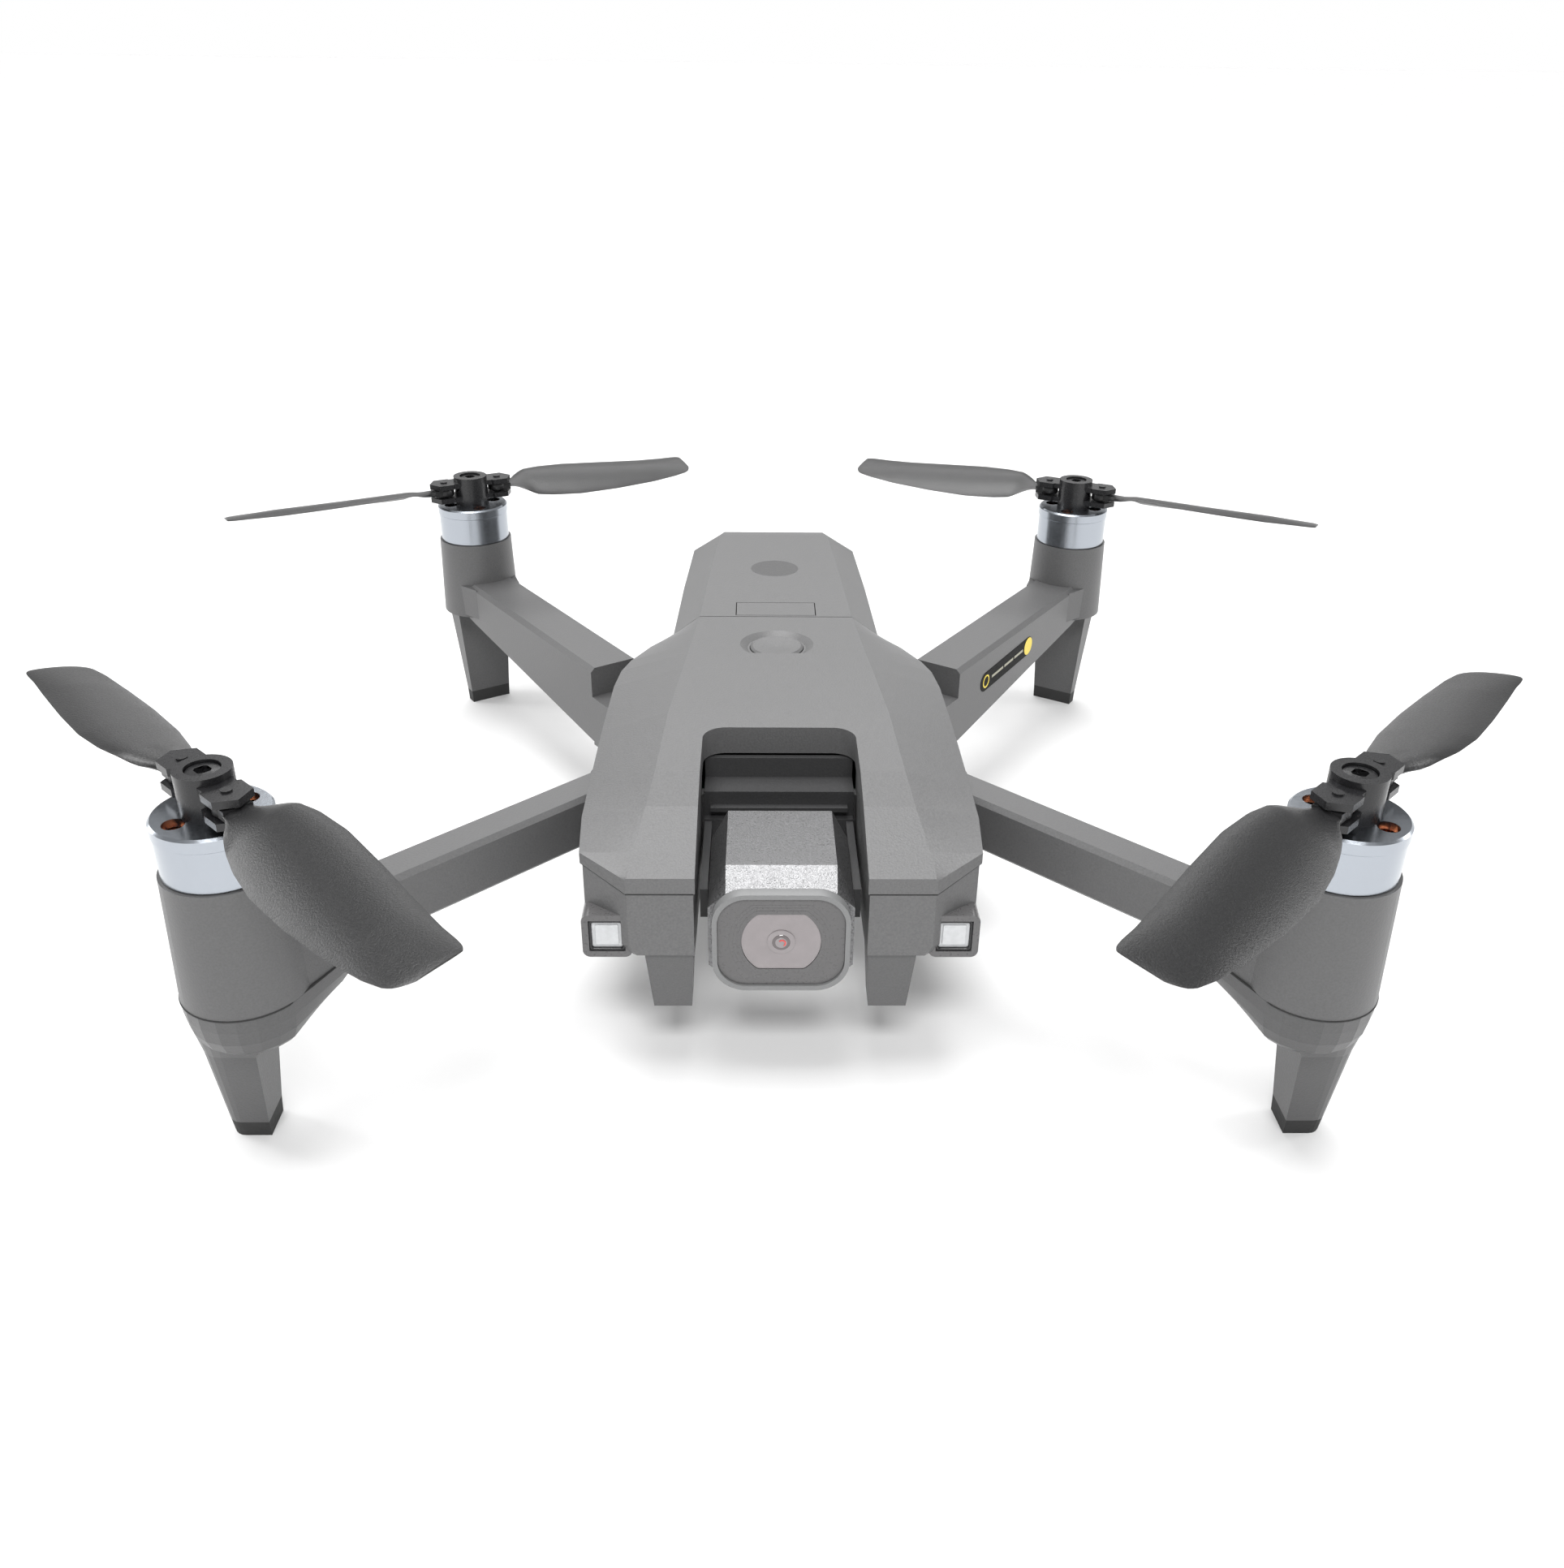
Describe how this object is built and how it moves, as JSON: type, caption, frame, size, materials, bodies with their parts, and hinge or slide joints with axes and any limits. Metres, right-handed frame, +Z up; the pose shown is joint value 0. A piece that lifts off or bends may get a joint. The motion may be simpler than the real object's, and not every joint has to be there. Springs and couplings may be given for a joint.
{
  "type": "quadcopter drone",
  "caption": "Folding camera quadcopter standing unfolded on its legs, with folding propeller blades, a tilting nose camera and a slide-out battery.",
  "frame": {"origin": "centre of the bounding box at the surface the feet stand on", "axes": "+X to the aircraft's left-right span (picture right), +Y towards the tail, +Z up; the camera looks along -Y"},
  "size_m": [0.3728, 0.3506, 0.0963],
  "materials": {
    "shell_grey": "fine sand-textured matte",
    "prop_black": "satin",
    "motor_aluminium": "brushed satin",
    "copper_core": "enamelled copper",
    "pad_rubber": "matte",
    "lens_frame": "satin",
    "camera_metal": "metallic grain",
    "clear_glass": "clear",
    "black_plastic": "matte",
    "steel": "plain",
    "circuit_board": "solder mask",
    "cell_wrap": "film wrap"
  },
  "bodies": {
    "fuselage": {"upper_shell": "shell_grey", "lower_shell": "shell_grey", "gimbal_tray": "black_plastic", "nose_feet": "shell_grey", "headlight_bezels": "lens_frame", "headlight_lenses": "clear_glass", "main_board": "circuit_board", "gps_module": "black_plastic", "battery_contacts": "black_plastic", "belly_sensor_window": "clear_glass", "shell_screws": "steel", "front_hinge_pins": "steel", "rear_hinge_pins": "steel", "gimbal_bracket": "black_plastic"},
    "battery": {"battery_case": "shell_grey", "battery_cover": "shell_grey", "battery_cells": "cell_wrap"},
    "latch_button": {"battery_latch": "shell_grey"},
    "power_switch": {"power_button": "shell_grey"},
    "camera": {"camera_housing": "camera_metal", "lens_bezel": "lens_frame", "lens_glass": "clear_glass", "lens_barrel": "black_plastic", "image_sensor": "circuit_board"},
    "front_right_arm_assembly": {"front_right_arm": "shell_grey", "front_right_leg": "shell_grey", "front_right_foot_pad": "pad_rubber", "front_right_motor_stator": "copper_core"},
    "front_right_rotor": {"front_right_motor_bell": "motor_aluminium", "front_right_prop_hub": "prop_black"},
    "front_right_blade_a_body": {"front_right_blade_a": "prop_black"},
    "front_right_blade_b_body": {"front_right_blade_b": "prop_black"},
    "front_left_arm_assembly": {"front_left_arm": "shell_grey", "front_left_leg": "shell_grey", "front_left_foot_pad": "pad_rubber", "front_left_motor_stator": "copper_core"},
    "front_left_rotor": {"front_left_motor_bell": "motor_aluminium", "front_left_prop_hub": "prop_black"},
    "front_left_blade_a_body": {"front_left_blade_a": "prop_black"},
    "front_left_blade_b_body": {"front_left_blade_b": "prop_black"},
    "rear_right_arm_assembly": {"rear_right_arm": "shell_grey", "rear_right_leg": "shell_grey", "rear_right_foot_pad": "pad_rubber", "rear_right_motor_stator": "copper_core"},
    "rear_right_rotor": {"rear_right_motor_bell": "motor_aluminium", "rear_right_prop_hub": "prop_black"},
    "rear_right_blade_a_body": {"rear_right_blade_a": "prop_black"},
    "rear_right_blade_b_body": {"rear_right_blade_b": "prop_black"},
    "rear_left_arm_assembly": {"rear_left_arm": "shell_grey", "rear_left_leg": "shell_grey", "rear_left_foot_pad": "pad_rubber", "rear_left_motor_stator": "copper_core"},
    "rear_left_rotor": {"rear_left_motor_bell": "motor_aluminium", "rear_left_prop_hub": "prop_black"},
    "rear_left_blade_a_body": {"rear_left_blade_a": "prop_black"},
    "rear_left_blade_b_body": {"rear_left_blade_b": "prop_black"}
  },
  "joints": [
    {"name": "front_right_fold", "type": "hinge", "parent": "fuselage", "child": "front_right_arm_assembly", "pos_m": [0.043, -0.03892, 0.05], "axis": [0, 0, 1], "range_deg": [0, 128]},
    {"name": "front_right_spin", "type": "hinge", "parent": "front_right_arm_assembly", "child": "front_right_rotor", "pos_m": [0.1158, -0.11102, 0.0865], "axis": [0, 0, 1], "continuous": true},
    {"name": "front_right_blade_a_hinge", "type": "hinge", "parent": "front_right_rotor", "child": "front_right_blade_a_body", "pos_m": [0.12269, -0.10413, 0.0915], "axis": [0, 0, -1], "range_deg": [-75, 75]},
    {"name": "front_right_blade_b_hinge", "type": "hinge", "parent": "front_right_rotor", "child": "front_right_blade_b_body", "pos_m": [0.10891, -0.11791, 0.0915], "axis": [0, 0, 1], "range_deg": [-75, 75]},
    {"name": "front_left_fold", "type": "hinge", "parent": "fuselage", "child": "front_left_arm_assembly", "pos_m": [-0.043, -0.03892, 0.05], "axis": [0, 0, -1], "range_deg": [0, 128]},
    {"name": "front_left_spin", "type": "hinge", "parent": "front_left_arm_assembly", "child": "front_left_rotor", "pos_m": [-0.1158, -0.11102, 0.0865], "axis": [0, 0, 1], "continuous": true},
    {"name": "front_left_blade_a_hinge", "type": "hinge", "parent": "front_left_rotor", "child": "front_left_blade_a_body", "pos_m": [-0.12269, -0.10413, 0.0915], "axis": [0, 0, 1], "range_deg": [-75, 75]},
    {"name": "front_left_blade_b_hinge", "type": "hinge", "parent": "front_left_rotor", "child": "front_left_blade_b_body", "pos_m": [-0.10891, -0.11791, 0.0915], "axis": [0, 0, -1], "range_deg": [-75, 75]},
    {"name": "rear_right_fold", "type": "hinge", "parent": "fuselage", "child": "rear_right_arm_assembly", "pos_m": [0.04, 0.03058, 0.0335], "axis": [-0.9813, 0.1925, 0], "range_deg": [0, 180]},
    {"name": "rear_right_spin", "type": "hinge", "parent": "rear_right_arm_assembly", "child": "rear_right_rotor", "pos_m": [0.1093, 0.13218, 0.0783], "axis": [0, 0, 1], "continuous": true},
    {"name": "rear_right_blade_a_hinge", "type": "hinge", "parent": "rear_right_rotor", "child": "rear_right_blade_a_body", "pos_m": [0.10069, 0.13676, 0.0833], "axis": [0, 0, -1], "range_deg": [-75, 75]},
    {"name": "rear_right_blade_b_hinge", "type": "hinge", "parent": "rear_right_rotor", "child": "rear_right_blade_b_body", "pos_m": [0.11791, 0.1276, 0.0833], "axis": [0, 0, 1], "range_deg": [-75, 75]},
    {"name": "rear_left_fold", "type": "hinge", "parent": "fuselage", "child": "rear_left_arm_assembly", "pos_m": [-0.04, 0.03058, 0.0335], "axis": [-0.9813, -0.1925, 0], "range_deg": [0, 180]},
    {"name": "rear_left_spin", "type": "hinge", "parent": "rear_left_arm_assembly", "child": "rear_left_rotor", "pos_m": [-0.1093, 0.13218, 0.0783], "axis": [0, 0, 1], "continuous": true},
    {"name": "rear_left_blade_a_hinge", "type": "hinge", "parent": "rear_left_rotor", "child": "rear_left_blade_a_body", "pos_m": [-0.10069, 0.13676, 0.0833], "axis": [0, 0, 1], "range_deg": [-75, 75]},
    {"name": "rear_left_blade_b_hinge", "type": "hinge", "parent": "rear_left_rotor", "child": "rear_left_blade_b_body", "pos_m": [-0.11791, 0.1276, 0.0833], "axis": [0, 0, -1], "range_deg": [-75, 75]},
    {"name": "camera_tilt", "type": "hinge", "parent": "fuselage", "child": "camera", "pos_m": [0, -0.06942, 0.0405], "axis": [1, 0, 0], "range_deg": [-20, 90]},
    {"name": "battery_slide", "type": "slide", "parent": "fuselage", "child": "battery", "axis": [0, 1, 0], "range_m": [0, 0.095]},
    {"name": "latch_press", "type": "slide", "parent": "battery", "child": "latch_button", "axis": [0, 0, -1], "range_m": [0, 0.001], "stiffness_N_per_m": 400},
    {"name": "power_press", "type": "slide", "parent": "fuselage", "child": "power_switch", "axis": [0, 0, -1], "range_m": [0, 0.0008], "stiffness_N_per_m": 400}
  ],
  "couplings": [
    {"joint": "front_right_fold", "follows": "rear_right_fold", "ratio": 0.711},
    {"joint": "front_left_fold", "follows": "rear_left_fold", "ratio": 0.711}
  ]
}
